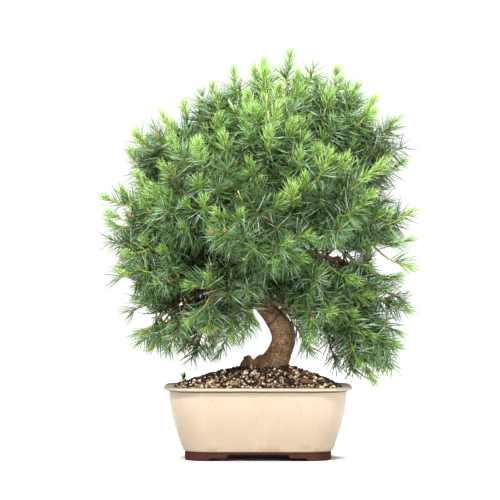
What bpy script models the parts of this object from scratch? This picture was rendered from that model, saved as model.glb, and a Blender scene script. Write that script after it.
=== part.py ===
"""A pine bonsai in a glazed rectangular pot.

The tree stands in a mound of soil: a curved trunk with a spreading foot, one limb for each cloud of
needles, and the clouds themselves. The pot is one fired piece with bracket feet and two drainage holes,
each covered inside by a mesh screen that a bent wire holds. Metres, +Z up, +X to the right and -Y to the
front. The origin is on the surface that the feet stand on, below the middle of the pot.
"""

import math

import bmesh
import bpy
from mathutils import Vector

# Clearance between pieces that touch
GAP = 0.0003

# Pot: outside sizes at the rim, below the rim and at the base
POT_LENGTH = 0.260
POT_DEPTH = 0.200
POT_HEIGHT = 0.101
RIM_OVERHANG = 0.0075
RIM_HEIGHT = 0.0050
RIM_WIDTH = 0.0145
BASE_INSET = 0.0195
RIM_CORNER = 0.060
BASE_CORNER = 0.038
WALL = 0.008
FLOOR_THICKNESS = 0.009
BODY_STEPS = 6

# Feet: a ring under the base, opened in the middle of each side
FOOT_HEIGHT = 0.012
FOOT_RING_WIDTH = 0.016
FOOT_SETBACK = 0.002
FOOT_LENGTH = 0.034
FOOT_SCROLL_LENGTH = 0.024
FOOT_SIDE_LENGTH = 0.030
FOOT_SIDE_SCROLL_LENGTH = 0.010
FOOT_SCROLL_HEIGHT = 0.0035
FOOT_ARCH_HEIGHT = 0.0095

# Drainage holes with their screens and clips
HOLE_RADIUS = 0.010
HOLE_SPREAD = 0.050
SCREEN_SIDE = 0.032
SCREEN_THICKNESS = 0.0012
SCREEN_OPENINGS = 4
SCREEN_BAR = 0.0024
CLIP_WIRE = 0.0006
CLIP_FOOT_REACH = 0.016

# Soil and the grit that dresses it
SOIL_BELOW_RIM = 0.0035
MOUND_RISE = 0.0315
MOUND_STEPS = 5
GRIT_THICKNESS = 0.004
MOUND_OFFSET = 0.016

# Tree
TREE_HEIGHT = 0.552
CANOPY_LENGTH = 0.424
CANOPY_DEPTH = 0.344
TRUNK_RADIUS = 0.0172
LIMB_RADIUS = 0.0052
LIMB_TIP_RADIUS = 0.0016
ROOT_RADIUS = 0.0085
ROOT_REACH = 0.036
STUMP_RADIUS = 0.0062
STUMP_HEIGHT = 0.023

# A seedling at the pot's left end and a loose piece of bark on the right
WEED_HEIGHT = 0.016
WEED_RADIUS = 0.0042
WEED_PLACE = (-0.92, -0.12)
CHIP_SIZE = (0.022, 0.011, 0.005)
CHIP_PLACE = (0.53, -0.72)
CHIP_TURN = -18
CHIP_SUNK = 0.0015

# Points of a ring that is lofted: this many on each rounded corner
CORNER_POINTS = 6
# Sides that a curve's bevel gets: 4 plus twice this
TRUNK_BEVEL = 4
LIMB_BEVEL = 1
CLOUD_ROUNDNESS = 2

RIM_Z = POT_HEIGHT
BODY_TOP_Z = POT_HEIGHT - RIM_HEIGHT
FLOOR_Z = FOOT_HEIGHT + FLOOR_THICKNESS
SOIL_EDGE_Z = RIM_Z - SOIL_BELOW_RIM
SOIL_TOP_Z = SOIL_EDGE_Z + MOUND_RISE
TRUNK_RISE = TREE_HEIGHT - SOIL_TOP_Z

# The trunk's line: across, back and up as shares of its rise above the soil, and its thickness as a
# share of the trunk's radius.
TRUNK_LINE = (
    (0.030, 0.000, -0.062, 1.60),
    (0.040, 0.000, -0.020, 1.40),
    (0.054, -0.004, 0.010, 1.18),
    (0.067, -0.008, 0.034, 1.04),
    (0.079, -0.010, 0.060, 0.98),
    (0.085, -0.010, 0.086, 0.98),
    (0.081, -0.006, 0.110, 1.00),
    (0.071, -0.002, 0.131, 0.96),
    (0.058, 0.003, 0.150, 0.88),
    (0.040, 0.007, 0.170, 0.79),
    (0.020, 0.010, 0.194, 0.73),
    (0.005, 0.009, 0.226, 0.69),
    (0.000, 0.002, 0.300, 0.64),
    (0.012, -0.006, 0.390, 0.56),
    (0.020, -0.004, 0.490, 0.47),
    (0.016, 0.002, 0.600, 0.38),
    (0.004, 0.004, 0.710, 0.29),
    (0.014, 0.000, 0.820, 0.20),
    (0.026, 0.000, 0.880, 0.12),
)

# Each root: its bearing in degrees anticlockwise from +X, and its reach and thickness as shares
ROOTS = (
    (8, 0.80, 0.85),
    (75, 0.90, 0.80),
    (140, 0.85, 0.85),
    (192, 1.05, 1.00),
    (242, 0.95, 0.90),
    (300, 0.85, 0.85),
)

# Each cloud of needles: the height at which its limb leaves the trunk as a share of the trunk's rise,
# its middle as shares of the canopy's half length, its half depth and the tree's height, and its half
# sizes as shares of the same three.
APEX = "apex"
CLOUDS = {
    "lowest_left": (0.205, (-0.520, -0.06, 0.304), (0.280, 0.30, 0.048)),
    "lowest_right": (0.225, (0.670, -0.14, 0.258), (0.250, 0.31, 0.060)),
    "low_left": (0.262, (-0.570, 0.16, 0.392), (0.290, 0.32, 0.045)),
    "low_right": (0.285, (0.690, 0.12, 0.350), (0.300, 0.34, 0.064)),
    "front_low_left": (0.300, (-0.220, -0.46, 0.396), (0.270, 0.33, 0.088)),
    "front_low_right": (0.318, (0.390, -0.34, 0.380), (0.260, 0.33, 0.105)),
    "back_low_left": (0.335, (-0.350, 0.56, 0.425), (0.330, 0.36, 0.085)),
    "back_low_right": (0.352, (0.400, 0.56, 0.415), (0.330, 0.36, 0.085)),
    "left": (0.372, (-0.660, -0.14, 0.488), (0.310, 0.38, 0.068)),
    "right": (0.392, (0.690, -0.06, 0.460), (0.310, 0.38, 0.062)),
    "front": (0.435, (0.030, -0.670, 0.572), (0.350, 0.33, 0.110)),
    "back": (0.455, (0.010, 0.670, 0.560), (0.350, 0.33, 0.110)),
    "mid_left": (0.475, (-0.690, 0.06, 0.605), (0.310, 0.42, 0.092)),
    "mid_right": (0.495, (0.690, 0.06, 0.618), (0.310, 0.42, 0.090)),
    "front_left": (0.515, (-0.370, -0.500, 0.665), (0.330, 0.37, 0.115)),
    "front_right": (0.535, (0.410, -0.500, 0.660), (0.330, 0.37, 0.115)),
    "back_left": (0.555, (-0.400, 0.480, 0.670), (0.340, 0.38, 0.115)),
    "back_right": (0.575, (0.440, 0.470, 0.665), (0.340, 0.38, 0.115)),
    "shoulder_left": (0.605, (-0.550, -0.02, 0.745), (0.310, 0.40, 0.105)),
    "shoulder_right": (0.625, (0.640, -0.02, 0.768), (0.310, 0.40, 0.108)),
    "crown_left": (0.665, (-0.210, 0.00, 0.832), (0.310, 0.37, 0.105)),
    "crown_right": (0.690, (0.450, 0.02, 0.862), (0.310, 0.37, 0.108)),
    "crown_front": (0.640, (0.050, -0.360, 0.790), (0.330, 0.36, 0.115)),
    "crown_back": (0.715, (0.060, 0.370, 0.800), (0.330, 0.36, 0.115)),
    APEX: (None, (0.160, 0.00, 0.900), (0.290, 0.36, 0.100)),
}

# How far a limb's end runs past its cloud's middle, and how much it sags or arches on its way
LIMB_RUN_ON = 0.35
LIMB_ARCH = 0.10
LIMB_POINTS = 7


def clear_scene():
    for obj in list(bpy.data.objects):
        bpy.data.objects.remove(obj, do_unlink=True)


def make_collection(name):
    collection = bpy.data.collections.new(name)
    bpy.context.scene.collection.children.link(collection)
    return collection


def make_material(name, color, roughness):
    material = bpy.data.materials.new(name)
    material.use_nodes = True
    shader = material.node_tree.nodes["Principled BSDF"]
    shader.inputs["Base Color"].default_value = (*color, 1)
    shader.inputs["Roughness"].default_value = roughness
    shader.inputs["Metallic"].default_value = 0
    return material


def add_mesh_object(name, mesh, collection, material=None):
    obj = bpy.data.objects.new(name, mesh)
    collection.objects.link(obj)
    if material:
        mesh.materials.clear()
        mesh.materials.append(material)
        mesh.shade_smooth()
        mesh.set_sharp_from_angle(angle=math.radians(40))
    return obj


def as_cutter(obj):
    obj.hide_render = True
    obj.display_type = "WIRE"
    return obj


def add_boolean(obj, other, operation):
    modifier = obj.modifiers.new(operation.title(), "BOOLEAN")
    modifier.operation = operation
    modifier.object = other
    return modifier


# Lofted pieces: the pot, its foot ring, the soil and the grit


def corner_ring(half_x, half_y, corner, z, shift_x=0.0):
    """Points round a rectangle with rounded corners, anticlockwise from above."""
    corner = min(corner, half_x, half_y)
    points = []
    for quarter, (sign_x, sign_y) in enumerate(((1, 1), (-1, 1), (-1, -1), (1, -1))):
        middle_x = sign_x * (half_x - corner) + shift_x
        middle_y = sign_y * (half_y - corner)
        for step in range(CORNER_POINTS):
            angle = math.pi / 2 * (quarter + step / (CORNER_POINTS - 1))
            points.append(
                Vector((middle_x + corner * math.cos(angle), middle_y + corner * math.sin(angle), z))
            )
    return points


def loft(name, rings):
    """A closed mesh through the rings, capped at the first and the last."""
    mesh = bpy.data.meshes.new(name)
    bm = bmesh.new()
    rows = [[bm.verts.new(point) for point in ring] for ring in rings]
    for lower, upper in zip(rows, rows[1:]):
        for i in range(len(lower)):
            bm.faces.new((lower[i - 1], lower[i], upper[i], upper[i - 1]))
    bm.faces.new(rows[0])
    bm.faces.new(rows[-1])
    bmesh.ops.recalc_face_normals(bm, faces=bm.faces)
    bm.to_mesh(mesh)
    bm.free()
    return mesh


def body_half_sizes(z, inset=0.0):
    """The pot body's half length, half depth and corner radius at a height, taken in by inset."""
    share = (z - FOOT_HEIGHT) / (BODY_TOP_Z - FOOT_HEIGHT)
    swell = math.sin(math.pi / 2 * min(max(share, 0), 1))
    taken_in = RIM_OVERHANG + BASE_INSET * (1 - swell) + inset
    corner = BASE_CORNER + (RIM_CORNER - RIM_OVERHANG - BASE_CORNER) * swell - inset
    return POT_LENGTH / 2 - taken_in, POT_DEPTH / 2 - taken_in, corner


def rim_ring(inset, z):
    return corner_ring(POT_LENGTH / 2 - inset, POT_DEPTH / 2 - inset, RIM_CORNER - inset, z)


def heights(low, high, steps):
    return [low + (high - low) * step / steps for step in range(steps + 1)]


def pot_rings():
    """The pot's skin: up the outside, over the rim and down the inside to the floor."""
    rounding = RIM_HEIGHT * 0.3
    rings = [corner_ring(*body_half_sizes(z), z) for z in heights(FOOT_HEIGHT, BODY_TOP_Z, BODY_STEPS)]
    rings.append(rim_ring(rounding, BODY_TOP_Z + GAP))
    rings.append(rim_ring(0, BODY_TOP_Z + rounding))
    rings.append(rim_ring(0, RIM_Z - rounding))
    rings.append(rim_ring(rounding, RIM_Z))
    rings.append(rim_ring(RIM_WIDTH - rounding, RIM_Z))
    for z in reversed(heights(FLOOR_Z, BODY_TOP_Z - rounding, BODY_STEPS - 1)):
        rings.append(corner_ring(*body_half_sizes(z, WALL), z))
    return rings


def foot_opening(name, half_opening, scroll_length, reach, along_y, collection):
    """A bar whose end outline is the scrolled opening between two feet."""
    half_arch = half_opening - scroll_length
    below = -FOOT_HEIGHT
    outline = (
        (-half_opening, below),
        (half_opening, below),
        (half_opening, 0.0),
        (half_opening - FOOT_SCROLL_HEIGHT, FOOT_SCROLL_HEIGHT),
        (half_arch + FOOT_SCROLL_HEIGHT, FOOT_SCROLL_HEIGHT * 1.4),
        (half_arch, FOOT_ARCH_HEIGHT),
        (-half_arch, FOOT_ARCH_HEIGHT),
        (-half_arch - FOOT_SCROLL_HEIGHT, FOOT_SCROLL_HEIGHT * 1.4),
        (-half_opening + FOOT_SCROLL_HEIGHT, FOOT_SCROLL_HEIGHT),
        (-half_opening, 0.0),
    )
    curve = bpy.data.curves.new(name, "CURVE")
    curve.dimensions = "2D"
    curve.fill_mode = "BOTH"
    curve.extrude = reach
    spline = curve.splines.new("POLY")
    spline.points.add(len(outline) - 1)
    for point, (across, up) in zip(spline.points, outline):
        point.co = (across, up, 0, 1)
    spline.use_cyclic_u = True
    obj = bpy.data.objects.new(name, curve)
    collection.objects.link(obj)
    obj.rotation_euler = (math.pi / 2, 0, math.pi / 2 if along_y else 0)
    return as_cutter(curve_to_mesh(obj, collection))


def curve_to_mesh(obj, collection, material=None):
    """The curve's tube or plate as a mesh with welded caps, in place of the curve."""
    bpy.context.view_layer.update()
    graph = bpy.context.evaluated_depsgraph_get()
    mesh = bpy.data.meshes.new_from_object(obj.evaluated_get(graph))
    bm = bmesh.new()
    bm.from_mesh(mesh)
    bmesh.ops.remove_doubles(bm, verts=bm.verts, dist=1e-6)
    bmesh.ops.recalc_face_normals(bm, faces=bm.faces)
    bm.to_mesh(mesh)
    bm.free()
    name, matrix = obj.name, obj.matrix_world.copy()
    bpy.data.objects.remove(obj, do_unlink=True)
    made = add_mesh_object(name, mesh, collection, material)
    made.matrix_world = matrix
    return made


def make_pot(parts, cutters, material):
    pot = add_mesh_object("pot", loft("pot", pot_rings()), parts, material)
    half_x, half_y, corner = body_half_sizes(FOOT_HEIGHT)
    outer = (half_x - FOOT_SETBACK, half_y - FOOT_SETBACK, corner - FOOT_SETBACK)
    sunk = FOOT_HEIGHT + FLOOR_THICKNESS / 2
    ring = add_mesh_object(
        "foot_ring", loft("foot_ring", [corner_ring(*outer, z) for z in (0, sunk)]), cutters
    )
    inner = [size - FOOT_RING_WIDTH for size in outer]
    hollow = add_mesh_object(
        "foot_ring_hollow",
        loft("foot_ring_hollow", [corner_ring(*inner, z) for z in (-FOOT_HEIGHT, FOOT_HEIGHT)]),
        cutters,
    )
    front = foot_opening(
        "foot_opening_front", outer[0] - FOOT_LENGTH, FOOT_SCROLL_LENGTH, POT_DEPTH, False, cutters
    )
    side = foot_opening(
        "foot_opening_side", outer[1] - FOOT_SIDE_LENGTH, FOOT_SIDE_SCROLL_LENGTH, POT_LENGTH, True, cutters
    )
    for opening in (as_cutter(hollow), front, side):
        add_boolean(ring, opening, "DIFFERENCE")
    add_boolean(pot, as_cutter(ring), "UNION")
    for side in (-1, 1):
        bpy.ops.mesh.primitive_cylinder_add(
            vertices=20,
            radius=HOLE_RADIUS,
            depth=3 * FLOOR_THICKNESS,
            location=(side * HOLE_SPREAD, 0, FOOT_HEIGHT + FLOOR_THICKNESS / 2),
        )
        hole = bpy.context.object
        hole.name = "drain_hole_left" if side < 0 else "drain_hole_right"
        move_to(hole, cutters)
        add_boolean(pot, as_cutter(hole), "DIFFERENCE")
    return pot


def move_to(obj, collection):
    for old in list(obj.users_collection):
        old.objects.unlink(obj)
    collection.objects.link(obj)


def make_box(name, size, location, collection):
    """A box of that size with its scale applied."""
    bm = bmesh.new()
    bmesh.ops.create_cube(bm, size=1)
    bmesh.ops.scale(bm, vec=size, verts=bm.verts)
    mesh = bpy.data.meshes.new(name)
    bm.to_mesh(mesh)
    bm.free()
    obj = add_mesh_object(name, mesh, collection)
    obj.location = location
    return obj


def make_screen(name, x, parts, cutters, material):
    """A square plastic mesh that lies on the floor over one hole."""
    z = FLOOR_Z + GAP + SCREEN_THICKNESS / 2
    screen = make_box(name, (SCREEN_SIDE, SCREEN_SIDE, SCREEN_THICKNESS), (x, 0, z), parts)
    screen.data.materials.append(material)
    pitch = (SCREEN_SIDE - SCREEN_BAR) / SCREEN_OPENINGS
    opening = pitch - SCREEN_BAR
    for row in range(SCREEN_OPENINGS):
        for column in range(SCREEN_OPENINGS):
            place = (
                x + (column - (SCREEN_OPENINGS - 1) / 2) * pitch,
                (row - (SCREEN_OPENINGS - 1) / 2) * pitch,
                z,
            )
            size = (opening, opening, 3 * SCREEN_THICKNESS)
            cutter = make_box(f"{name}_opening_{row}{column}", size, place, cutters)
            add_boolean(screen, as_cutter(cutter), "DIFFERENCE")
    return screen


def make_clip(name, x, parts, material):
    """A bent wire: over the screen, down through two of its openings and out under the floor."""
    pitch = (SCREEN_SIDE - SCREEN_BAR) / SCREEN_OPENINGS
    leg = pitch * 0.5
    top = FLOOR_Z + 2 * GAP + SCREEN_THICKNESS + CLIP_WIRE
    under = FOOT_HEIGHT - GAP - CLIP_WIRE
    bend = 2 * CLIP_WIRE
    across = (
        (-CLIP_FOOT_REACH, under),
        (-leg - bend, under),
        (-leg, under + bend),
        (-leg, top - bend),
        (-leg + bend, top),
        (leg - bend, top),
        (leg, top - bend),
        (leg, under + bend),
        (leg + bend, under),
        (CLIP_FOOT_REACH, under),
    )
    points = [Vector((x + step, pitch / 2, z)) for step, z in across]
    return make_tube(name, points, [CLIP_WIRE] * len(points), LIMB_BEVEL, parts, material)


def mound_z(share):
    """Height of the soil at a share of the way from the mound's top out to the wall."""
    return SOIL_EDGE_Z + MOUND_RISE * (1 - share**1.7)


def mound_ring(share, inset, rise):
    half_x, half_y, corner = body_half_sizes(SOIL_EDGE_Z, WALL + inset)
    return corner_ring(
        half_x * share,
        half_y * share,
        half_y * share - (half_y - corner) * share**3,
        mound_z(share) + rise,
        MOUND_OFFSET * (1 - share),
    )


def mound_shares():
    return [1 - step / MOUND_STEPS for step in range(MOUND_STEPS)] + [0.07]


def on_mound(place):
    """The point of the grit's top at shares of the way out to the pot's end and front."""
    half_x, half_y, _ = body_half_sizes(SOIL_EDGE_Z, WALL + GAP)
    share = max(abs(place[0]), abs(place[1]))
    shift = MOUND_OFFSET * (1 - share)
    return Vector((half_x * place[0] + shift, half_y * place[1], mound_z(share)))


def make_weed(name, grow, collection, material=None):
    """A seedling: a thin stem with a tuft of leaves, as one solid."""
    foot = on_mound(WEED_PLACE)
    outline = ((-0.14, 0.22), (0.30, 0.22), (0.50, 0.75), (0.70, 1.0), (0.88, 0.8), (1.0, 0.25))
    points = [foot + Vector((0, 0, WEED_HEIGHT * up)) for up, _ in outline]
    radii = [WEED_RADIUS * wide + grow for _, wide in outline]
    points[0].z -= grow
    return make_tube(name, points, radii, LIMB_BEVEL, collection, material)


def make_chip(name, grow, collection, material=None):
    """A flat piece of bark, half sunk in the grit."""
    half = [size / 2 + grow for size in CHIP_SIZE]
    middle = on_mound(CHIP_PLACE) - Vector((0, 0, CHIP_SUNK))
    turn = math.radians(CHIP_TURN)
    across = Vector((math.cos(turn), math.sin(turn), -0.22)).normalized()
    up = across.cross(Vector((-math.sin(turn), math.cos(turn), 0.2))).normalized()
    along = up.cross(across)
    rings = []
    for level, taper in ((-1, 0.8), (-0.3, 1.0), (0.4, 0.95), (1, 0.7)):
        ring = []
        for sign_x, sign_y in ((1, 0.6), (0.5, 1), (-0.8, 0.9), (-1, -0.5), (-0.4, -1), (0.9, -0.8)):
            flat = across * half[0] * sign_x + along * half[1] * sign_y
            ring.append(middle + flat * taper + up * half[2] * level)
        rings.append(ring)
    return add_mesh_object(name, loft(name, rings), collection, material)


def make_soil(parts, cutters, material):
    rings = [
        corner_ring(*body_half_sizes(z, WALL + GAP), z)
        for z in heights(FLOOR_Z + GAP, SOIL_EDGE_Z - GRIT_THICKNESS, BODY_STEPS - 2)
    ]
    rings += [mound_ring(share, GAP, -GRIT_THICKNESS) for share in mound_shares()[1:]]
    soil = add_mesh_object("soil", loft("soil", rings), parts, material)
    pocket_height = SCREEN_THICKNESS + 2 * CLIP_WIRE + 4 * GAP
    for side in (-1, 1):
        size = (SCREEN_SIDE + 2 * GAP, SCREEN_SIDE + 2 * GAP, 2 * pocket_height)
        pocket = make_box(f"screen_pocket_{side:+d}", size, (side * HOLE_SPREAD, 0, FLOOR_Z), cutters)
        add_boolean(soil, as_cutter(pocket), "DIFFERENCE")
    return soil


def make_grit(parts, material):
    """The layer of grit: out along the soil to the wall, then back over its own top."""
    shares = mound_shares()
    under = [mound_ring(share, GAP, GAP - GRIT_THICKNESS) for share in reversed(shares)]
    over = [mound_ring(share, GAP, 0) for share in shares]
    return add_mesh_object("grit_dressing", loft("grit_dressing", under + over), parts, material)


# The tree's wood


def smooth_line(points, per_span):
    """Points on a smooth curve through the given ones; each has any number of values."""
    line = []
    last = len(points) - 1
    for i in range(last):
        before, start, end, after = (points[min(max(i + k, 0), last)] for k in (-1, 0, 1, 2))
        for step in range(per_span):
            t = step / per_span
            line.append(
                tuple(
                    0.5 * (2 * b + (c - a) * t + (2 * a - 5 * b + 4 * c - d) * t * t
                           + (3 * b - a - 3 * c + d) * t**3)
                    for a, b, c, d in zip(before, start, end, after)
                )
            )
    line.append(tuple(points[last]))
    return line


def extended(points, more):
    """The points with the last one moved on along its own stretch."""
    return [*points[:-1], points[-1] + (points[-1] - points[-2]).normalized() * more]


def make_tube(name, points, radii, bevel, collection, material=None):
    """A tube with filled caps along the points, as a mesh."""
    curve = bpy.data.curves.new(name, "CURVE")
    curve.dimensions = "3D"
    curve.bevel_depth = 1.0
    curve.bevel_resolution = bevel
    curve.use_fill_caps = True
    spline = curve.splines.new("POLY")
    spline.points.add(len(points) - 1)
    for point, place, radius in zip(spline.points, points, radii):
        point.co = (*place, 1)
        point.radius = radius
    obj = bpy.data.objects.new(name, curve)
    collection.objects.link(obj)
    return curve_to_mesh(obj, collection, material)


def trunk_line():
    """(place, radius) down the trunk's middle, from under the soil to the leader's tip."""
    return [
        (Vector((x * TRUNK_RISE, y * TRUNK_RISE, SOIL_TOP_Z + z * TRUNK_RISE)), thickness * TRUNK_RADIUS)
        for x, y, z, thickness in smooth_line(TRUNK_LINE, 2)
    ]


def root_lines():
    """(points, radii) of each root, from inside the trunk's foot out and down into the soil, and of the
    old stump beside it."""
    foot_x = 0.5 * (TRUNK_LINE[0][0] + TRUNK_LINE[1][0]) * TRUNK_RISE
    lines = []
    for bearing, reach, thickness in ROOTS:
        angle = math.radians(bearing)
        out = Vector((math.cos(angle), math.sin(angle), 0))
        middle = Vector((foot_x, 0, SOIL_TOP_Z))
        far = ROOT_REACH * reach
        radius = ROOT_RADIUS * thickness
        points = [
            middle + out * far * 0.15 + Vector((0, 0, radius)),
            middle + out * far * 0.60 + Vector((0, 0, -radius * 0.6)),
            middle + out * far * 0.85 + Vector((0, 0, -radius * 1.5)),
            middle + out * far + Vector((0, 0, -radius * 2.6)),
        ]
        lines.append((points, [radius * share for share in (1.25, 1.0, 0.75, 0.45)]))
    stump = Vector((foot_x - 1.78 * TRUNK_RADIUS, -0.3 * TRUNK_RADIUS, SOIL_TOP_Z))
    lean = Vector((0.34, -0.1, 1)).normalized()
    reach = (-0.9, 0.25, 0.75, 1.0)
    lines.append(
        (
            [stump + lean * STUMP_HEIGHT * share * (0.6 if share > 0 else 0.9) for share in reach],
            [STUMP_RADIUS * share for share in (1.6, 1.35, 1.0, 0.7)],
        )
    )
    return lines


def make_trunk(name, grow, collection, cutters, material=None):
    """The trunk with its roots joined on, all thickened by grow."""
    upwards = trunk_line()
    points = extended([place for place, _ in reversed(upwards)], grow)
    radii = [radius + grow for _, radius in reversed(upwards)]
    trunk = make_tube(name, extended(points[::-1], grow), radii[::-1], TRUNK_BEVEL, collection, material)
    for i, (points, radii) in enumerate(root_lines()):
        wider = [radius + grow for radius in radii]
        root = make_tube(f"{name}_root_{i}", extended(points, grow), wider, LIMB_BEVEL + 1, cutters)
        add_boolean(trunk, as_cutter(root), "UNION")
    return trunk


def cloud_middle(cloud):
    across, back, up = cloud[1]
    return Vector((across * CANOPY_LENGTH / 2, back * CANOPY_DEPTH / 2, up * TREE_HEIGHT))


def cloud_half_sizes(cloud):
    across, back, up = cloud[2]
    return Vector((across * CANOPY_LENGTH / 2, back * CANOPY_DEPTH / 2, up * TREE_HEIGHT))


def trunk_at(share):
    """The middle of the trunk at a share of its rise above the soil, and its radius there."""
    wanted = SOIL_TOP_Z + share * TRUNK_RISE
    line = trunk_line()
    for (low, low_radius), (high, high_radius) in zip(line, line[1:]):
        if low.z <= wanted <= high.z:
            t = (wanted - low.z) / (high.z - low.z)
            return low.lerp(high, t), low_radius + (high_radius - low_radius) * t
    raise ValueError(f"the trunk has no point at {share} of its rise")


def limb_line(cloud):
    """(points, radii) of a limb, from the trunk's middle out to past the middle of its cloud."""
    start, trunk_radius = trunk_at(cloud[0])
    middle = cloud_middle(cloud)
    way = middle - start
    end = middle + Vector((way.x, way.y, 0)).normalized() * cloud_half_sizes(cloud).x * LIMB_RUN_ON
    bend = start.lerp(end, 0.45) + Vector((0, 0, LIMB_ARCH * way.length))
    thick = min(LIMB_RADIUS, 0.62 * trunk_radius)
    points, radii = [], []
    for step in range(LIMB_POINTS + 1):
        t = step / LIMB_POINTS
        points.append(start * (1 - t) ** 2 + bend * 2 * t * (1 - t) + end * t * t)
        radii.append(thick + (LIMB_TIP_RADIUS - thick) * t)
    return points, radii


def make_limbs(parts, cutters, trunk_clearance, material):
    """One limb for each cloud but the apex, and for each a thicker copy that clears its way."""
    clearances = []
    for name, cloud in CLOUDS.items():
        if name == APEX:
            continue
        points, radii = limb_line(cloud)
        limb = make_tube(f"limb_{name}", points, radii, LIMB_BEVEL, parts, material)
        add_boolean(limb, trunk_clearance, "DIFFERENCE")
        wider = [radius + GAP for radius in radii]
        longer = extended(points, GAP)
        clearances.append(as_cutter(make_tube(f"clearance_{name}", longer, wider, LIMB_BEVEL, cutters)))
    return clearances


# The clouds of needles


def reach_along(half_sizes, direction):
    """How far a cloud reaches from its middle in a direction."""
    return 1 / math.sqrt(sum((direction[k] / half_sizes[k]) ** 2 for k in range(3)))


def cloud_mesh(name):
    """A rounded cloud, cut flat where it would run into a neighbour."""
    cloud = CLOUDS[name]
    middle, half_sizes = cloud_middle(cloud), cloud_half_sizes(cloud)
    bm = bmesh.new()
    bmesh.ops.create_icosphere(bm, subdivisions=CLOUD_ROUNDNESS, radius=1)
    bmesh.ops.scale(bm, vec=half_sizes, verts=bm.verts)
    bmesh.ops.translate(bm, vec=middle, verts=bm.verts)
    for other_name, other in CLOUDS.items():
        if other_name == name:
            continue
        way = cloud_middle(other) - middle
        apart, direction = way.length, way.normalized()
        own = reach_along(half_sizes, direction)
        theirs = reach_along(cloud_half_sizes(other), direction)
        plane = middle + direction * (apart * own / (own + theirs) - GAP)
        if max((v.co - plane).dot(direction) for v in bm.verts) <= 0:
            continue
        cut = bmesh.ops.bisect_plane(
            bm,
            geom=bm.verts[:] + bm.edges[:] + bm.faces[:],
            dist=1e-5,
            plane_co=plane,
            plane_no=direction,
            clear_outer=True,
        )
        edges = [item for item in cut["geom_cut"] if isinstance(item, bmesh.types.BMEdge)]
        bmesh.ops.contextual_create(bm, geom=edges)
    bmesh.ops.dissolve_degenerate(bm, dist=2e-4, edges=bm.edges)
    bmesh.ops.recalc_face_normals(bm, faces=bm.faces)
    mesh = bpy.data.meshes.new(name)
    bm.to_mesh(mesh)
    bm.free()
    return mesh


def boxes_meet(a, b):
    """True if two objects' bounding boxes meet; neither is turned or scaled."""
    corners_a = [a.matrix_world @ Vector(corner) for corner in a.bound_box]
    corners_b = [b.matrix_world @ Vector(corner) for corner in b.bound_box]
    return all(
        min(c[k] for c in corners_a) <= max(c[k] for c in corners_b)
        and min(c[k] for c in corners_b) <= max(c[k] for c in corners_a)
        for k in range(3)
    )


def make_clouds(parts, wood_clearances, material):
    for name in CLOUDS:
        foliage = add_mesh_object(f"foliage_{name}", cloud_mesh(name), parts, material)
        for clearance in wood_clearances:
            if boxes_meet(foliage, clearance):
                add_boolean(foliage, clearance, "DIFFERENCE")


def main():
    clear_scene()
    parts = make_collection("pine_bonsai")
    cutters = make_collection("cutters")
    glaze = make_material("cream_glaze", (0.86, 0.76, 0.58), 0.3)
    plastic = make_material("black_mesh", (0.03, 0.03, 0.03), 0.6)
    wire = make_material("aluminium_wire", (0.55, 0.35, 0.2), 0.4)
    earth = make_material("potting_soil", (0.09, 0.055, 0.035), 0.95)
    grit = make_material("grit", (0.36, 0.27, 0.2), 0.9)
    bark = make_material("bark", (0.25, 0.15, 0.1), 0.85)
    needles = make_material("needles", (0.16, 0.3, 0.09), 0.6)
    leaf = make_material("leaf", (0.2, 0.4, 0.08), 0.6)
    chip = make_material("red_bark", (0.3, 0.12, 0.07), 0.85)

    make_pot(parts, cutters, glaze)
    for side, x in (("left", -HOLE_SPREAD), ("right", HOLE_SPREAD)):
        make_screen(f"drain_screen_{side}", x, parts, cutters, plastic)
        make_clip(f"screen_clip_{side}", x, parts, wire)
    soil = make_soil(parts, cutters, earth)
    dressing = make_grit(parts, grit)

    make_trunk("trunk", 0.0, parts, cutters, bark)
    clearance = as_cutter(make_trunk("trunk_clearance", GAP, cutters, cutters))
    add_boolean(soil, clearance, "DIFFERENCE")
    add_boolean(dressing, clearance, "DIFFERENCE")
    make_weed("weed_seedling", 0.0, parts, leaf)
    make_chip("bark_chip", 0.0, parts, chip)
    for loose in (make_weed("weed_clearance", GAP, cutters), make_chip("chip_clearance", GAP, cutters)):
        add_boolean(dressing, as_cutter(loose), "DIFFERENCE")
    limb_clearances = make_limbs(parts, cutters, clearance, bark)
    make_clouds(parts, [clearance, *limb_clearances], needles)


main()
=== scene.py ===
"""The looks of a pine bonsai in its glazed pot: pot, soil, grit, wood and needles round the frame.

Sizes are metres, +Z is up and -Y is the front. Places come from the frame's boxes and meshes.
"""

import math

import bmesh
import bpy
import numpy as np
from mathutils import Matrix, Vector, noise


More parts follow.
